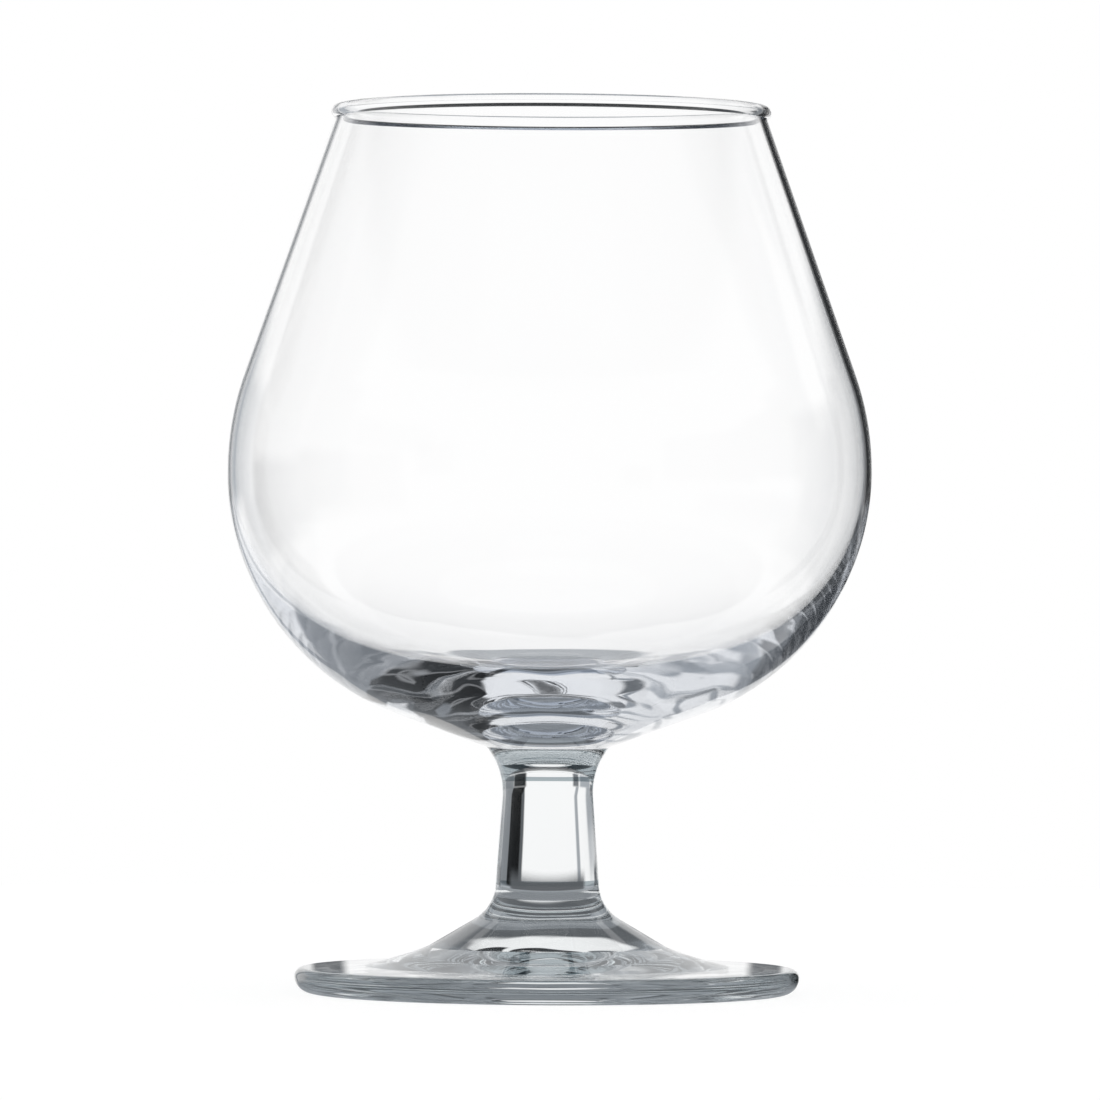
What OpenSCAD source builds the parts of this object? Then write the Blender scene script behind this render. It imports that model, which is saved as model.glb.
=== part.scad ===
// Brandy snifter in clear glass, standing on z = 0 with its axis on Z.
// A blown bowl, a flared collar, a short tapered stem and a pressed foot meet face to face at their welds.
// Every piece is a profile turned about Z. A profile's points are [radius, height].

/* [Bowl] */
// Height of the bowl, from its weld to the top of the rim
bowl_h = 79.7; // [72:0.1:88]
// Outer diameter at the widest circle
belly_d = 79.9; // [76:0.1:86]
// Height of the widest circle above the bowl's weld
belly_h = 34.5; // [32:0.1:38]
// Radius of the shoulder that leads up into the straight flank
shoulder_r = 36; // [30:0.5:42]
// Slope of the underside where it nears the collar, in degrees
base_slope = 20; // [14:0.5:24]
// Radius of the crease between the underside and the collar
crease_r = 0.5; // [0.2:0.1:1.2]
// Wall thickness from the widest circle to the rim
wall = 0.95; // [0.8:0.05:1.5]
// Height of the lowest point inside above the bowl's weld
floor_t = 5; // [4:0.1:8]
// Radius of the dished floor inside
floor_r = 56; // [50:1:110]

/* [Rim] */
// Outer diameter over the rim bead
rim_d = 54.6; // [50:0.1:60]
// Thickness of the fire-polished bead
bead_d = 1.7; // [1.6:0.1:2.4]

/* [Collar] */
// Height of the collar, from the stem's weld to the bowl's
collar_h = 3.4; // [2:0.1:5]
// Radius of the hollow curve that the collar and the stem's upper end share
neck_r = 9; // [8:0.1:14]

/* [Stem] */
// Length of the stem, from the foot's weld to the collar's
stem_h = 13.5; // [9:0.1:24]
// Diameter at the waist, the narrowest circle
waist_d = 11.2; // [9:0.1:13]
// Depth of the waist below the collar's weld
waist_drop = 2.1; // [1:0.1:3]
// Diameter at the foot's weld
stem_end_d = 12.8; // [11.6:0.1:15]

/* [Foot] */
// Height of the foot, up to its weld
foot_h = 13.4; // [12.4:0.1:16]
// Outer diameter
foot_d = 62.6; // [58:0.1:70]
// Radius of the lower round of its edge
edge_low_r = 2; // [1.6:0.1:2.2]
// Radius of the tighter upper round of its edge
edge_high_r = 1.1; // [0.7:0.1:1.3]
// Width of the flattest part, from the edge in to the cone
brim_w = 8.7; // [7:0.1:10]
// Rise from the top of the edge to the start of the cone
brim_rise = 0.25; // [0.1:0.05:0.5]
// Radius of the hollow curve between the start of the cone and its crease
sweep_r = 64; // [40:1:90]
// Diameter of the faint crease on the cone
ridge_d = 29.6; // [27:0.1:31]
// Thickness at the crease
ridge_t = 5.7; // [5:0.1:6.3]
// Radius of the hollow curve where the hub leaves the stem
hub_r = 5.5; // [4.5:0.1:6]
// Width of the flat ring that the glass stands on
ring_w = 2.4; // [1.5:0.1:4]
// Diameter of the domed recess under the foot
recess_d = 28.4; // [22:0.1:36]
// Depth at the recess's edge
recess_edge_t = 0.4; // [0.2:0.1:0.8]
// Depth at the middle of the recess
recess_t = 2.2; // [1:0.1:3.5]

/* [Hidden] */
// Most that a chord may lie off its arc
arc_sag = 0.008;
$fn = 144;
glass_colour = [0.83, 0.89, 0.90, 0.55];
base_colour = [0.76, 0.83, 0.85, 0.65];

// Heights of the welds, of the widest circle and of the rim
stem_z = foot_h;
collar_z = stem_z + stem_h;
bowl_z = collar_z + collar_h;
belly_z = bowl_z + belly_h;
rim_z = bowl_z + bowl_h;

// Radii of the round sizes
belly_r = belly_d / 2;
bead_r = bead_d / 2;
foot_r = foot_d / 2;
stem_end_r = stem_end_d / 2;
recess_r = recess_d / 2;

// Points of an arc about c from angle a0 to a1, with both ends
function arc_points(c, r, a0, a1) =
    let (steps = max(2, ceil(abs(a1 - a0) / (2 * acos(1 - arc_sag / r)))))
    [for (i = [0:steps]) let (a = a0 + (a1 - a0) * i / steps) c + r * [cos(a), sin(a)]];

// Direction of a point seen from another
function bearing(from, to) = atan2(to[1] - from[1], to[0] - from[0]);

// The curve of the neck, which runs through the collar and the top of the stem.
// The stem's straight taper touches it below the waist.
neck_c = [waist_d / 2 + neck_r, collar_z - waist_drop];
collar_angle = 180 - asin((bowl_z - neck_c[1]) / neck_r);
weld_angle = 180 - asin(waist_drop / neck_r);
stem_end = [stem_end_r, stem_z];
taper_angle = 360 + bearing(neck_c, stem_end) - acos(neck_r / norm(stem_end - neck_c));

// The crease is a small arc inside the neck's curve, and the sloping underside leaves it
crease_c = neck_c + (neck_r - crease_r) * [cos(collar_angle), sin(collar_angle)];
base_low = crease_c + crease_r * [-sin(base_slope), cos(base_slope)];

// The lower bowl is the arc that is upright at the widest circle and touches the underside
lower_r = (cos(base_slope) * (belly_z - base_low[1]) - sin(base_slope) * (belly_r - base_low[0]))
    / (1 - sin(base_slope));
lower_c = [belly_r - lower_r, belly_z];

// The flank touches the shoulder outside and the bead inside
shoulder_c = [belly_r - shoulder_r, belly_z];
bead_c = [rim_d / 2 - bead_r, rim_z - bead_r];
flank_slope = bearing(shoulder_c, bead_c)
    - acos((shoulder_r - wall + bead_r) / norm(bead_c - shoulder_c));
bead_start = flank_slope - acos((wall - bead_r) / bead_r);

// Inside, a lower arc leads from the wall into the dished floor
floor_z = bowl_z + floor_t;
inside_r = belly_r - wall;
inside_h = belly_z - floor_z;
heel_r = (2 * inside_h * floor_r - inside_r ^ 2 - inside_h ^ 2) / (2 * (floor_r - inside_r));
heel_c = [inside_r - heel_r, belly_z];
floor_c = [0, floor_z + floor_r];
heel_end = bearing(floor_c, heel_c);

// The hub's curve carries on from the taper and leaves in a straight line to the crease,
// and a wide hollow curve leads from there to the start of the cone
hub_c = stem_end + hub_r * [cos(taper_angle - 180), sin(taper_angle - 180)];
ridge = [ridge_d / 2, ridge_t];
hub_end = 360 + bearing(hub_c, ridge) - acos(hub_r / norm(ridge - hub_c));
brim_in = [foot_r - brim_w, edge_low_r + edge_high_r + brim_rise];
sweep_rise = sqrt(sweep_r ^ 2 - norm(ridge - brim_in) ^ 2 / 4) / norm(ridge - brim_in);
sweep_c = (ridge + brim_in) / 2 + sweep_rise * [ridge[1] - brim_in[1], brim_in[0] - ridge[0]];

// The edge is two rounds that meet at its widest circle, and the brim's top touches the upper one
low_edge_c = [foot_r - edge_low_r, edge_low_r];
high_edge_c = [foot_r - edge_high_r, edge_low_r];
edge_end = bearing(high_edge_c, brim_in) - acos(edge_high_r / norm(brim_in - high_edge_c));

// Under the foot: the ring, a faint hollow and the domed recess
ring_in_r = low_edge_c[0] - ring_w;
dome_t = recess_t - recess_edge_t;
dome_r = (recess_r ^ 2 + dome_t ^ 2) / (2 * dome_t);
dome_c = [0, recess_t - dome_r];
dome_start = bearing(dome_c, [recess_r, recess_edge_t]);

module turned(points) {
    rotate_extrude() polygon(points);
}

module bowl() {
    color(glass_colour) turned(concat(
        [[0, bowl_z]],
        arc_points(crease_c, crease_r, collar_angle, 90 + base_slope),
        arc_points(lower_c, lower_r, base_slope - 90, 0),
        arc_points(shoulder_c, shoulder_r, 0, flank_slope),
        arc_points(bead_c, bead_r, bead_start, 180 + flank_slope),
        arc_points(shoulder_c, shoulder_r - wall, flank_slope, 0),
        arc_points(heel_c, heel_r, 0, heel_end),
        arc_points(floor_c, floor_r, heel_end, -90)
    ));
}

module collar() {
    color(base_colour) turned(concat(
        [[0, collar_z]],
        arc_points(neck_c, neck_r, weld_angle, collar_angle),
        [[0, bowl_z]]
    ));
}

module stem() {
    color(glass_colour) turned(concat(
        [[0, stem_z]],
        [stem_end],
        arc_points(neck_c, neck_r, taper_angle, weld_angle),
        [[0, collar_z]]
    ));
}

module foot() {
    color(base_colour) turned(concat(
        arc_points(dome_c, dome_r, 90, dome_start),
        [[ring_in_r, 0]],
        arc_points(low_edge_c, edge_low_r, -90, 0),
        arc_points(high_edge_c, edge_high_r, 0, edge_end),
        arc_points(sweep_c, sweep_r, bearing(sweep_c, brim_in), bearing(sweep_c, ridge)),
        arc_points(hub_c, hub_r, hub_end, taper_angle),
        [[0, foot_h]]
    ));
}

bowl();
collar();
stem();
foot();
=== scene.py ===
import math

import bpy
import numpy as np
from mathutils import Matrix, Vector


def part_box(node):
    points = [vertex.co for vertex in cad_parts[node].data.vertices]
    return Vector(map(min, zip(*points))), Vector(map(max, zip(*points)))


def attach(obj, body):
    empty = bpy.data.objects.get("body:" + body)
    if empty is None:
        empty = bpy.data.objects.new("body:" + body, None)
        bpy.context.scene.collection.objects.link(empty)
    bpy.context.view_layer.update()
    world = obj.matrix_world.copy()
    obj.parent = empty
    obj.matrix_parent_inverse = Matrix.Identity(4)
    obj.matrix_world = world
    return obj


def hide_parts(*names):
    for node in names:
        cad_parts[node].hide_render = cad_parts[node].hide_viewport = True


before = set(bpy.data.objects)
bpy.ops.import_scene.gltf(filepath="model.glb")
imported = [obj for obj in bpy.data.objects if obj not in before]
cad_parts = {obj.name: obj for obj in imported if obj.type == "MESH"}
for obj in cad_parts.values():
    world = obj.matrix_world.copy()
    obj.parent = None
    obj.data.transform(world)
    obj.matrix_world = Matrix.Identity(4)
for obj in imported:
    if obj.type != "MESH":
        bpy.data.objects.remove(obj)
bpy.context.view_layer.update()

MM = 0.001
SEGMENTS = 256  # faces round each piece
STEP = 0.35 * MM  # longest step along a profile
FINE_STEP = 0.12 * MM  # the same on the foot's edge
LONG_STEP = 1.5 * MM  # the same above the bowl's widest circle
ARC_STEPS = 6  # fewest steps in an arc
WELD_GAP = 0.001 * MM  # each weld face stops this short of the weld's plane

# Sizes from the frame: heights of the welds and of the rim, and the radii that the boxes show
BOWL_LOW, BOWL_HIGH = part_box("bowl")
COLLAR_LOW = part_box("collar")[0]
FOOT_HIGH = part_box("foot")[1]
RIM_Z, BOWL_Z = BOWL_HIGH[2], BOWL_LOW[2]
COLLAR_Z, STEM_Z = COLLAR_LOW[2], FOOT_HIGH[2]
BELLY_R, FOOT_R = BOWL_HIGH[0], FOOT_HIGH[0]

# Sizes that the frame doesn't give, as the solids have them
BELLY_Z = BOWL_Z + 34.5 * MM
SHOULDER_R, WALL = 36 * MM, 0.95 * MM
BASE_SLOPE, CREASE_R = math.radians(20), 0.5 * MM
FLOOR_T, FLOOR_R = 5 * MM, 56 * MM
RIM_R, BEAD_R = 27.3 * MM, 0.85 * MM
NECK_R, WAIST_R, WAIST_DROP = 9 * MM, 5.6 * MM, 2.1 * MM
STEM_END_R = 6.4 * MM
EDGE_LOW_R, EDGE_HIGH_R, RING_W = 2.0 * MM, 1.1 * MM, 2.4 * MM
BRIM_W, BRIM_RISE = 8.7 * MM, 0.25 * MM
HUB_R, RIDGE_R, RIDGE_T, SWEEP_R = 5.5 * MM, 14.8 * MM, 5.7 * MM, 64 * MM
RECESS_R, RECESS_EDGE_T, RECESS_T = 14.2 * MM, 0.4 * MM, 2.2 * MM


def polar(angle):
    return np.array([math.cos(angle), math.sin(angle)])


def bearing(start, end):
    return math.atan2(end[1] - start[1], end[0] - start[0])


def span(start, end):
    return math.hypot(end[0] - start[0], end[1] - start[1])


def arc(centre, radius, start, end, step=STEP):
    """Points and normals, each (radius, height), of an arc between two angles in radians. The normals point
    out of the glass: away from the centre where the angle grows along the profile, else towards it."""
    steps = max(ARC_STEPS, math.ceil(abs(end - start) * radius / step))
    angles = [start + (end - start) * i / steps for i in range(steps + 1)]
    side = 1 if end > start else -1
    return [(centre + radius * polar(a), side * polar(a)) for a in angles]


def line(start, end, parts=1):
    """Points and normals of a straight stretch, with its normal on the right hand of its direction."""
    start, end = np.array(start), np.array(end)
    along = (end - start) / np.linalg.norm(end - start)
    normal = np.array([along[1], -along[0]])
    return [(start + (end - start) * i / parts, normal) for i in range(parts + 1)]


def stretch(start, end, step=STEP):
    """A straight stretch in steps."""
    return line(start, end, max(1, math.ceil(span(start, end) / step)))


def joined(*stretches):
    """One smooth run made of stretches that touch, each shared point kept once."""
    run = []
    for points in stretches:
        if run and np.linalg.norm(run[-1][0] - points[0][0]) < WELD_GAP:
            points = points[1:]
        run += points
    return run


def weld(radius, height, side):
    """The flat face of a weld: side -1 faces down and runs from the axis out, and 1 faces up and runs in."""
    ends = [(0, height), (radius, height)]
    return line(*(ends if side < 0 else ends[::-1]))


# The neck's curve runs through the collar and the top of the stem
neck_c = np.array([WAIST_R + NECK_R, COLLAR_Z - WAIST_DROP])
collar_angle = math.pi - math.asin((BOWL_Z - neck_c[1]) / NECK_R)
weld_angle = math.pi - math.asin(WAIST_DROP / NECK_R)
stem_end = np.array([STEM_END_R, STEM_Z])
taper_angle = 2 * math.pi + bearing(neck_c, stem_end) - math.acos(NECK_R / span(neck_c, stem_end))
crease_low = neck_c + NECK_R * polar(collar_angle)
collar_low = neck_c + NECK_R * polar(weld_angle)

# The crease, the sloping underside and the lower bowl
crease_c = neck_c + (NECK_R - CREASE_R) * polar(collar_angle)
base_low = crease_c + CREASE_R * np.array([-math.sin(BASE_SLOPE), math.cos(BASE_SLOPE)])
lower_r = (
    math.cos(BASE_SLOPE) * (BELLY_Z - base_low[1]) - math.sin(BASE_SLOPE) * (BELLY_R - base_low[0])
) / (1 - math.sin(BASE_SLOPE))
lower_c = np.array([BELLY_R - lower_r, BELLY_Z])

# The shoulder, the flank and the bead
shoulder_c = np.array([BELLY_R - SHOULDER_R, BELLY_Z])
bead_c = np.array([RIM_R - BEAD_R, RIM_Z - BEAD_R])
flank = bearing(shoulder_c, bead_c) - math.acos((SHOULDER_R - WALL + BEAD_R) / span(shoulder_c, bead_c))
bead_start = flank - math.acos((WALL - BEAD_R) / BEAD_R)

# Inside the bowl
floor_z = BOWL_Z + FLOOR_T
inside_r, inside_h = BELLY_R - WALL, BELLY_Z - floor_z
heel_r = (2 * inside_h * FLOOR_R - inside_r**2 - inside_h**2) / (2 * (FLOOR_R - inside_r))
heel_c = np.array([inside_r - heel_r, BELLY_Z])
floor_c = np.array([0, floor_z + FLOOR_R])
heel_end = bearing(floor_c, heel_c)

# The foot
hub_c = stem_end + HUB_R * polar(taper_angle - math.pi)
ridge = np.array([RIDGE_R, RIDGE_T])
brim_in = np.array([FOOT_R - BRIM_W, EDGE_LOW_R + EDGE_HIGH_R + BRIM_RISE])
hub_end = 2 * math.pi + bearing(hub_c, ridge) - math.acos(HUB_R / span(hub_c, ridge))
sweep_rise = math.sqrt(SWEEP_R**2 - span(ridge, brim_in) ** 2 / 4) / span(ridge, brim_in)
sweep_c = (ridge + brim_in) / 2 + sweep_rise * np.array([ridge[1] - brim_in[1], brim_in[0] - ridge[0]])
low_edge_c = np.array([FOOT_R - EDGE_LOW_R, EDGE_LOW_R])
high_edge_c = np.array([FOOT_R - EDGE_HIGH_R, EDGE_LOW_R])
edge_end = bearing(high_edge_c, brim_in) - math.acos(EDGE_HIGH_R / span(high_edge_c, brim_in))
ring_in = np.array([low_edge_c[0] - RING_W, 0])
dome_t = RECESS_T - RECESS_EDGE_T
dome_r = (RECESS_R**2 + dome_t**2) / (2 * dome_t)
dome_c = np.array([0, RECESS_T - dome_r])
dome_start = bearing(dome_c, (RECESS_R, RECESS_EDGE_T))


def rise(value, low, high):
    """0 up to one value and 1 from another, with a smooth rise between. It falls if the second is lower."""
    t = np.clip((value - low) / (high - low), 0, 1)
    return t * t * (3 - 2 * t)


WAVE_COUNT = 28


def waves(seed, size, short, long, fade):
    """Faint waves that hand work leaves in glass, as a function that moves points along their normals and
    turns the normals to match. Fade gives their strength, 0 to 1, for a radius and a height."""
    rng = np.random.default_rng(seed)
    ways = rng.normal(size=(WAVE_COUNT, 3))
    lengths = rng.uniform(short, long, WAVE_COUNT)
    ways *= (2 * math.pi / lengths / np.linalg.norm(ways, axis=1))[:, None]
    phases = rng.uniform(0, 2 * math.pi, WAVE_COUNT)
    heights = size * lengths / long * math.sqrt(2 / WAVE_COUNT)

    def move(points, normals):
        angles = points @ ways.T + phases
        share = fade(np.hypot(points[..., 0], points[..., 1]), points[..., 2])[..., None]
        height = share * (heights * np.sin(angles)).sum(axis=-1, keepdims=True)
        slope = share * ((heights * np.cos(angles)) @ ways)
        turned = normals - slope + (slope * normals).sum(axis=-1, keepdims=True) * normals
        return points + height * normals, turned / np.linalg.norm(turned, axis=-1, keepdims=True)

    return move


# Each set has its seed, height, shortest and longest length, and a fade that keeps it off welds and edges.
# The bowl's wall has none above these heights, where they would chop the dark lines at its outline.
UNDER_FADE = (BELLY_Z - 23 * MM, BELLY_Z - 30 * MM)
FLOOR_FADE = (BELLY_Z - 22 * MM, BELLY_Z - 28 * MM)
under_waves = waves(
    11, 0.012 * MM, 5 * MM, 12 * MM,
    lambda r, z: rise(z, BOWL_Z + 0.6 * MM, BOWL_Z + 2.5 * MM) * rise(z, *UNDER_FADE),
)
floor_waves = waves(
    12, 0.015 * MM, 6 * MM, 12 * MM,
    lambda r, z: rise(z, *FLOOR_FADE),
)
stem_waves = waves(
    13, 0.012 * MM, 4 * MM, 9 * MM,
    lambda r, z: rise(z, COLLAR_Z, COLLAR_Z - 3 * MM) * rise(z, STEM_Z, STEM_Z + 3 * MM),
)
dome_waves = waves(
    14, 0.012 * MM, 3 * MM, 7 * MM,
    lambda r, z: rise(r, RECESS_R, RECESS_R - 2 * MM),
)
base_waves = waves(
    15, 0.015 * MM, 3 * MM, 8 * MM,
    lambda r, z: rise(r, RECESS_R, RECESS_R + 2 * MM) * rise(r, ring_in[0], ring_in[0] - 2 * MM),
)
top_waves = waves(
    16, 0.010 * MM, 4 * MM, 9 * MM,
    lambda r, z: rise(r, brim_in[0], brim_in[0] - 2 * MM) * rise(z, STEM_Z, STEM_Z - 3 * MM),
)


def lathe(name, runs, materials):
    """A closed piece turned from runs of (point, normal), each with the material it shows and its waves, if
    any. Corner normals are the profile's own, so that the pieces meet without a kink at their welds."""
    turn = np.linspace(0, 2 * math.pi, SEGMENTS, endpoint=False)
    vertices, rings, faces, normals, shown = [], [], [], [], []
    for run, slot, move in runs:
        r, z = np.array([p for p, n in run]).T[:, :, None]
        nr, nz = np.array([n for p, n in run]).T[:, :, None]
        points = np.stack([r * np.cos(turn), r * np.sin(turn), z + 0 * turn], axis=2)
        aims = np.stack([nr * np.cos(turn), nr * np.sin(turn), nz + 0 * turn], axis=2)
        if move:
            points, aims = move(points, aims)
        first = len(rings) - 1 if rings else 0
        for k in range(1 if rings else 0, len(run)):
            if r[k, 0] < WELD_GAP:
                rings.append([len(vertices)] * SEGMENTS)
                vertices.append(points[k, 0])
            else:
                rings.append(list(range(len(vertices), len(vertices) + SEGMENTS)))
                vertices += list(points[k])
        for k in range(len(run) - 1):
            low, high = rings[first + k], rings[first + k + 1]
            for i in range(SEGMENTS):
                j = (i + 1) % SEGMENTS
                face = {low[i]: (k, i), low[j]: (k, j), high[j]: (k + 1, j), high[i]: (k + 1, i)}
                faces.append(list(face))
                normals += [aims[at] for at in face.values()]
                shown.append(slot)
    mesh = bpy.data.meshes.new(name)
    mesh.from_pydata(vertices, [], faces)
    mesh.polygons.foreach_set("material_index", shown)
    mesh.shade_smooth()
    mesh.normals_split_custom_set(normals)
    for material in materials:
        mesh.materials.append(material)
    piece = bpy.data.objects.new(name, mesh)
    bpy.context.scene.collection.objects.link(piece)
    return piece


WHITE = (1, 1, 1, 1)


def bare_tree(owner):
    """The node tree of a material or a world, emptied."""
    owner.use_nodes = True
    owner.node_tree.nodes.clear()
    return owner.node_tree


def node(tree, kind, settings=(), **inputs):
    """A new node. Its inputs go by name, with _ for a space, or by i and their number."""
    made = tree.nodes.new(kind)
    for key, value in dict(settings).items():
        setattr(made, key, value)
    for key, value in inputs.items():
        numbered = key[0] == "i" and key[1:].isdigit()
        socket = made.inputs[int(key[1:]) if numbered else key.replace("_", " ")]
        if isinstance(value, bpy.types.NodeSocket):
            tree.links.new(value, socket)
        else:
            socket.default_value = value
    return made


def math_node(tree, operation, a, b=0.0, clamp=False, c=0.0):
    settings = {"operation": operation, "use_clamp": clamp}
    return node(tree, "ShaderNodeMath", settings, i0=a, i1=b, i2=c).outputs[0]


def smooth_range(tree, value, low, high, start=0.0, end=1.0):
    """One level up to a value and another from a second value, with a smooth change between."""
    settings = {"interpolation_type": "SMOOTHSTEP"}
    return node(tree, "ShaderNodeMapRange", settings, i0=value, i1=low, i2=high, i3=start, i4=end).outputs[0]


def step_up(tree, value, at, soft):
    """0 below a value and 1 above it, with a soft step between. A negative softness turns the step round."""
    return smooth_range(tree, value, at - soft / 2, at + soft / 2)


def band(tree, value, low, high):
    """1 where a value lies between two steps, each given as (place, softness)."""
    return math_node(tree, "SUBTRACT", step_up(tree, value, *low), step_up(tree, value, *high), True)


def paths(tree):
    return node(tree, "ShaderNodeLightPath").outputs


def by_glass(tree):
    """1 for what glass reflects or lets through."""
    rays = paths(tree)
    return math_node(tree, "ADD", rays["Is Glossy Ray"], rays["Is Transmission Ray"], True)


def see_through(tree, colour=WHITE):
    return node(tree, "ShaderNodeBsdfTransparent", Color=colour).outputs[0]


def diffuse(tree, level):
    return node(tree, "ShaderNodeBsdfDiffuse", Color=(level, level, level, 1)).outputs[0]


def emission(tree, colour, strength):
    return node(tree, "ShaderNodeEmission", Color=colour, Strength=strength).outputs[0]


def mixed(tree, share, first, second):
    return node(tree, "ShaderNodeMixShader", i0=share, i1=first, i2=second).outputs[0]


IOR = 1.52
MIRROR = 0.15  # share of the plain reflection that glass shows face on; edges keep all of theirs
PASSES = (0.93, 0.94, 0.94, 1)  # what each face of glass lets through to light the floor


def glass(name, tint, depth, density):
    """Clear glass with a tint at its faces and a colour in its depth. Light for the floor passes straight."""
    material = bpy.data.materials.new(name)
    t = bare_tree(material)
    shader = node(
        t, "ShaderNodeBsdfPrincipled", Base_Color=(*tint, 1), Roughness=0.0, IOR=IOR, Transmission_Weight=1.0,
        Specular_Tint=(MIRROR, MIRROR, MIRROR, 1),
    ).outputs[0]
    rays = paths(t)
    passes = math_node(t, "ADD", rays["Is Shadow Ray"], rays["Is Diffuse Ray"], True)
    surface = mixed(t, passes, shader, see_through(t, PASSES))
    thick = node(t, "ShaderNodeVolumeAbsorption", Color=(*depth, 1), Density=density).outputs[0]
    node(t, "ShaderNodeOutputMaterial", Surface=surface, Volume=thick)
    return material


bowl_glass = glass("bowl_glass", (1, 1, 1), (0.15, 0.25, 0.40), 4.5)
base_glass = glass("base_glass", (0.98, 0.985, 0.985), (0.18, 0.29, 0.34), 6.0)

# The faces of the welds are clear, as the glass runs through them
fused = bpy.data.materials.new("weld")
t = bare_tree(fused)
node(t, "ShaderNodeOutputMaterial", Surface=see_through(t))

bowl = lathe(
    "snifter_bowl",
    [
        (weld(crease_low[0], BOWL_Z + WELD_GAP, -1), 1, None),
        (
            joined(
                arc(crease_c, CREASE_R, collar_angle, math.pi / 2 + BASE_SLOPE),
                stretch(base_low, lower_c + lower_r * polar(BASE_SLOPE - math.pi / 2)),
                arc(lower_c, lower_r, BASE_SLOPE - math.pi / 2, 0),
                arc(shoulder_c, SHOULDER_R, 0, flank, LONG_STEP),
                stretch(
                    shoulder_c + SHOULDER_R * polar(flank), bead_c + BEAD_R * polar(bead_start), LONG_STEP
                ),
            ),
            0,
            under_waves,
        ),
        (
            joined(
                arc(bead_c, BEAD_R, bead_start, math.pi + flank),
                stretch(
                    bead_c + BEAD_R * polar(math.pi + flank),
                    shoulder_c + (SHOULDER_R - WALL) * polar(flank),
                    LONG_STEP,
                ),
                arc(shoulder_c, SHOULDER_R - WALL, flank, 0, LONG_STEP),
                arc(heel_c, heel_r, 0, heel_end),
                arc(floor_c, FLOOR_R, heel_end, -math.pi / 2),
            ),
            0,
            floor_waves,
        ),
    ],
    [bowl_glass, fused],
)
collar = lathe(
    "snifter_collar",
    [
        (weld(collar_low[0], COLLAR_Z + WELD_GAP, -1), 1, None),
        (arc(neck_c, NECK_R, weld_angle, collar_angle), 0, None),
        (weld(crease_low[0], BOWL_Z - WELD_GAP, 1), 1, None),
    ],
    [base_glass, fused],
)
stem = lathe(
    "snifter_stem",
    [
        (weld(stem_end[0], STEM_Z + WELD_GAP, -1), 1, None),
        (
            joined(
                stretch(stem_end, neck_c + NECK_R * polar(taper_angle)),
                arc(neck_c, NECK_R, taper_angle, weld_angle),
            ),
            0,
            stem_waves,
        ),
        (weld(collar_low[0], COLLAR_Z - WELD_GAP, 1), 1, None),
    ],
    [base_glass, fused],
)
foot = lathe(
    "snifter_foot",
    [
        (arc(dome_c, dome_r, math.pi / 2, dome_start), 0, dome_waves),
        (stretch((RECESS_R, RECESS_EDGE_T), ring_in), 0, base_waves),
        (
            joined(
                line(ring_in, (low_edge_c[0], 0)),
                arc(low_edge_c, EDGE_LOW_R, -math.pi / 2, 0, FINE_STEP),
                arc(high_edge_c, EDGE_HIGH_R, 0, edge_end, FINE_STEP),
                stretch(high_edge_c + EDGE_HIGH_R * polar(edge_end), brim_in),
            ),
            0,
            None,
        ),
        (arc(sweep_c, SWEEP_R, bearing(sweep_c, brim_in), bearing(sweep_c, ridge)), 0, top_waves),
        (
            joined(
                stretch(ridge, hub_c + HUB_R * polar(hub_end)),
                arc(hub_c, HUB_R, hub_end, taper_angle),
            ),
            0,
            top_waves,
        ),
        (weld(stem_end[0], STEM_Z - WELD_GAP, 1), 1, None),
    ],
    [base_glass, fused],
)
for piece, name, slot in (
    (bowl, "bowl", "bowl_glass"),
    (collar, "collar", "base_glass"),
    (stem, "stem", "base_glass"),
    (foot, "foot", "base_glass"),
):
    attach(piece, "root")
    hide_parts(name)

GREY = (0.94, 1.0, 1.07)  # tint of every grey that the glass shows

# Floor. To the camera it is white and takes the glass's shadow, and to light it is pale. To glass it shows
# painted
# shade: a grey about the foot in place of the shade near and under the glass, which gives way to white
# further out and where it is seen at a slant.
TABLE_R, TABLE_DROP = 0.35, 0.02 * MM
GLOW, SHADED = 0.7, 0.35  # the camera's share of plain white and of the light that falls there
PALE = 0.7
PAINTED_SHADE_IN, PAINTED_SHADE_OUT = (5 * MM, 0.26), (45 * MM, 0.42)  # distance from the axis and the level of the painted shade's grey there
PAINTED_SHADE_END = (48 * MM, 76 * MM)
SLANT = (0.80, 0.93)
bpy.ops.mesh.primitive_circle_add(vertices=96, radius=TABLE_R, fill_type="NGON")
table = bpy.context.object
table.name = "floor"
table.location.z = -TABLE_DROP
material = bpy.data.materials.new("floor")
t = bare_tree(material)
place = node(t, "ShaderNodeTexCoord").outputs["Object"]
off = node(t, "ShaderNodeVectorMath", {"operation": "LENGTH"}, i0=place).outputs["Value"]
# Painted shade: a grey that is darkest near the axis and paler further out, shown only to glass
level = smooth_range(t, off, PAINTED_SHADE_IN[0], PAINTED_SHADE_OUT[0], PAINTED_SHADE_IN[1], PAINTED_SHADE_OUT[1])
slant = node(t, "ShaderNodeLayerWeight", Blend=0.5).outputs["Facing"]
clear = math_node(t, "MAXIMUM", smooth_range(t, off, *PAINTED_SHADE_END), smooth_range(t, slant, *SLANT))
# The painted shade is a dim grey glow that gives way to see-through further out and at a slant
painted_shade = mixed(t, clear, emission(t, (*GREY, 1), level), see_through(t))
white = node(t, "ShaderNodeAddShader", i0=diffuse(t, SHADED), i1=emission(t, WHITE, GLOW)).outputs[0]
other = mixed(t, by_glass(t), diffuse(t, PALE), painted_shade)
node(t, "ShaderNodeOutputMaterial", Surface=mixed(t, paths(t)["Is Camera Ray"], other, white))
table.data.materials.append(material)


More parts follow.
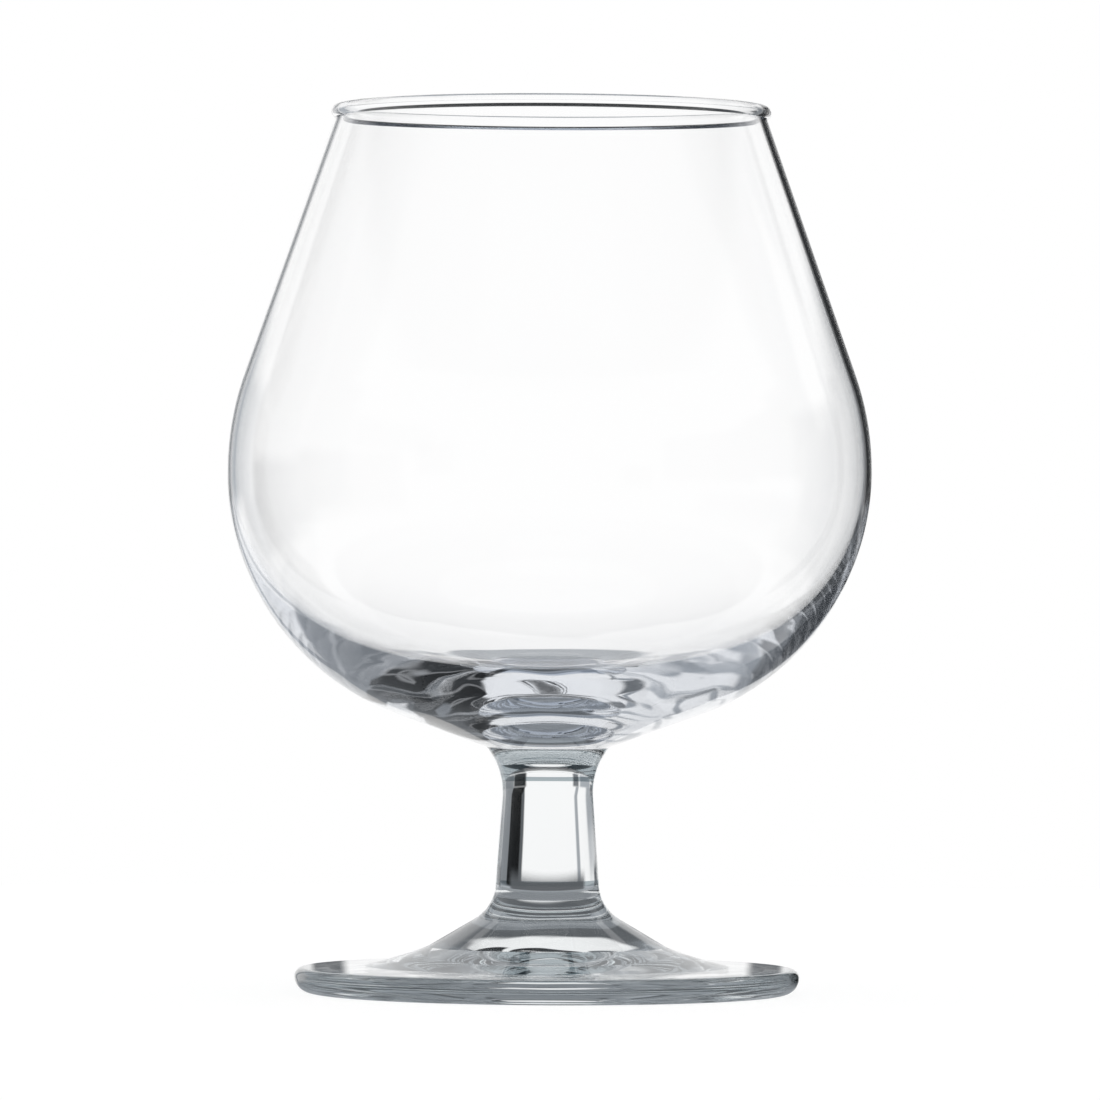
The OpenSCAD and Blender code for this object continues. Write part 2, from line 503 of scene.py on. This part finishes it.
def round_wall(name, radius, low, high):
    """An upright round wall about the axis, open above and below, seen only by glass."""
    bpy.ops.mesh.primitive_cylinder_add(
        vertices=192, radius=radius, depth=high - low, end_fill_type="NOTHING", location=(0, 0, 0)
    )
    wall = bpy.context.object
    wall.name = name
    wall.data.transform(Matrix.Translation((0, 0, (high + low) / 2)))
    return wall


def wall_place(tree):
    """Bearing of a point on a round wall, in degrees to the right of straight behind, and its height."""
    place = node(tree, "ShaderNodeTexCoord").outputs["Object"]
    xyz = node(tree, "ShaderNodeSeparateXYZ", i0=place).outputs
    turn = math_node(tree, "ARCTAN2", xyz[0], xyz[1])
    return math_node(tree, "MULTIPLY", turn, 180 / math.pi), xyz[2]


# Tent: a white round wall close about the glass with dark cards on it. A card has the bearings it runs
# between, in degrees, and the heights, in millimetres, each with its softness, then its level, and how many
# degrees it leans to the left per millimetre of height between LEAN_LOW and LEAN_HIGH.
TENT_R, TENT_LOW, TENT_HIGH = 0.18, -0.32, 0.42
LEAN_LOW, LEAN_HIGH = 10.0, 60.0
ALL_UP, ALL_DOWN = (900, 1), (-900, 1)
SIDES_LOW, OVER_LOW = (-35, 20), (180, 16)  # where the long cards at the sides and those overhead start
ABOVE_AND_BELOW = [
    ((-190, 1), (190, 1), OVER_LOW, ALL_UP, 0.14, 0),
    ((-62, 8), (62, 8), OVER_LOW, (345, 30), 0.035, 0),
    ((-190, 1), (190, 1), (345, 30), ALL_UP, 0.22, 0),
    ((150, 10), (190, 1), OVER_LOW, (230, 20), 0.45, 0),
    ((-190, 1), (-150, 10), OVER_LOW, (230, 20), 0.45, 0),
    ((157, 6), (190, 1), (250, 12), (350, 30), 1.0, 0),
    ((-190, 1), (-157, 6), (250, 12), (350, 30), 1.0, 0),
    ((-42, 6), (42, 6), ALL_DOWN, (-48, 6), 0.4, 0),
    ((-60, 6), (-14, 5), ALL_DOWN, (-26, 8), 0.5, 0),
]
ROUND_THE_SIDES = [
    ((36, 4), (62, 8), SIDES_LOW, (125, 20), 0.24, 0),
    ((62, 8), (90, 8), SIDES_LOW, (110, 16), 0.26, 0),
    ((90, 8), (130, 8), (0, 20), (38, 12), 0.36, 0),
    ((-58, 6), (-33, 4), (46, 12), (110, 20), 0.45, 0),
    ((-76, 8), (-46, 6), (-10, 14), (48, 14), 0.4, 0),
    ((-92, 6), (-60, 6), (4, 14), (72, 16), 0.2, 0),
    ((-132, 6), (-88, 6), (14, 12), (80, 12), 0.09, 0),
    ((-150, 6), (-137, 5), (55, 10), (92, 12), 0.2, 0),
    ((-29.5, 2), (-25.5, 2), ALL_DOWN, (46, 12), 0.4, 0.05),
    ((-31, 3), (-23.5, 3), (46, 12), (148, 12), 0.2, 0),
    ((21, 2), (30, 2), ALL_DOWN, (40, 16), 0.12, 0),
    ((24.5, 2), (41.0, 2), ALL_DOWN, (44, 14), 0.01, 0.13),
    ((19.5, 3), (36, 3), (44, 12), (148, 12), 0.03, 0),
]
tent = round_wall("tent", TENT_R, TENT_LOW, TENT_HIGH)
material = bpy.data.materials.new("tent")
t = bare_tree(material)
bearing_deg, height = wall_place(t)
height_mm = math_node(t, "MULTIPLY", height, 1 / MM)
leaning = math_node(t, "MINIMUM", math_node(t, "MAXIMUM", height_mm, LEAN_LOW), LEAN_HIGH)

# The cards at the sides show in thick glass and at the bowl's edges, and not straight through its two thin
# walls. A ray that comes through those has crossed all their faces and isn't reflected anywhere.
WALL_FACES = 4
rays = paths(t)
crossed = math_node(t, "GREATER_THAN", rays["Transmission Depth"], WALL_FACES - 0.5)
mirrored = math_node(t, "GREATER_THAN", rays["Glossy Depth"], 0.5)
bent = math_node(t, "SUBTRACT", 1.0, math_node(t, "SUBTRACT", crossed, mirrored, True))
seen = WHITE
for cards, share in ((ABOVE_AND_BELOW, 1.0), (ROUND_THE_SIDES, bent)):
    for left, right, bottom, top, level, lean in cards:
        along = bearing_deg
        if lean:
            along = math_node(t, "MULTIPLY_ADD", leaning, lean, c=bearing_deg)
            shift = lean * LEAN_LOW
            left, right = (left[0] + shift, left[1]), (right[0] + shift, right[1])
        mask = math_node(t, "MULTIPLY", band(t, height_mm, bottom, top), band(t, along, left, right))
        mask = math_node(t, "MULTIPLY", mask, share)
        colour = [min(1.0, level * c) for c in GREY]
        seen = node(t, "ShaderNodeMix", {"data_type": "RGBA"}, i0=mask, i6=seen, i7=(*colour, 1)).outputs[2]
surface = mixed(t, by_glass(t), see_through(t), emission(t, seen, 1.0))
node(t, "ShaderNodeOutputMaterial", Surface=surface)
tent.data.materials.append(material)

# Near cards: low and dark, close behind the foot, one straight behind and one to either side. Their ends and
# tops are steps, each given as (place, softness), in degrees and metres.
NEAR_R, NEAR_LOW, NEAR_HIGH = 0.0335, 0.0005, 0.0120
NEAR_TOP = (NEAR_HIGH - 1.5 * MM, -2.5 * MM)
NEAR_BEHIND, NEAR_FROM, NEAR_TO = (28, -6), (50, 4), (62, 4)
NEAR_LEVEL = 0.13
near = round_wall("near_cards", NEAR_R, NEAR_LOW, NEAR_HIGH)
material = bpy.data.materials.new("near_cards")
t = bare_tree(material)
bearing_deg, height = wall_place(t)
side = math_node(t, "ABSOLUTE", bearing_deg)
cards = math_node(t, "ADD", step_up(t, side, *NEAR_BEHIND), band(t, side, NEAR_FROM, NEAR_TO), True)
mask = math_node(t, "MULTIPLY", cards, step_up(t, height, *NEAR_TOP))
shown = math_node(t, "MULTIPLY", by_glass(t), mask)
surface = mixed(t, shown, see_through(t), emission(t, (*GREY, 1), NEAR_LEVEL))
node(t, "ShaderNodeOutputMaterial", Surface=surface)
near.data.materials.append(material)

# World: white to the camera and to glass, and a little under white as light on the floor
ROOM_LIGHT = 0.9
world = bpy.data.worlds.new("studio")
bpy.context.scene.world = world
t = bare_tree(world)
plain = node(t, "ShaderNodeBackground", Color=WHITE, Strength=ROOM_LIGHT).outputs[0]
white = node(t, "ShaderNodeBackground", Color=WHITE, Strength=1.0).outputs[0]
lit = mixed(t, by_glass(t), plain, white)
node(t, "ShaderNodeOutputWorld", Surface=mixed(t, paths(t)["Is Camera Ray"], lit, white))

# Camera: about 1 m away and level with the middle of the glass
LENS, SENSOR_W = 266, 36
ELEVATION, ROLL = math.radians(-0.165), math.radians(0.305)
TARGET = Vector((0.11 * MM, 0, 54.9 * MM))
FRAME_W = 136.4 * MM
camera = bpy.data.cameras.new("camera")
camera.lens, camera.sensor_width = LENS, SENSOR_W
camera.clip_start, camera.clip_end = 0.1, 20
eye = bpy.data.objects.new("camera", camera)
bpy.context.scene.collection.objects.link(eye)
back = Vector((0, -math.cos(ELEVATION), math.sin(ELEVATION)))
eye.location = TARGET + back * (FRAME_W * LENS / SENSOR_W)
eye.rotation_mode = "QUATERNION"
eye.rotation_quaternion = (-back).to_track_quat("-Z", "Y") @ Matrix.Rotation(ROLL, 3, "Z").to_quaternion()

BOUNCES = 64
scene = bpy.context.scene
scene.camera = eye
scene.view_settings.view_transform = "Standard"
scene.cycles.max_bounces = BOUNCES
scene.cycles.transmission_bounces = BOUNCES
scene.cycles.glossy_bounces = BOUNCES
scene.cycles.transparent_max_bounces = BOUNCES
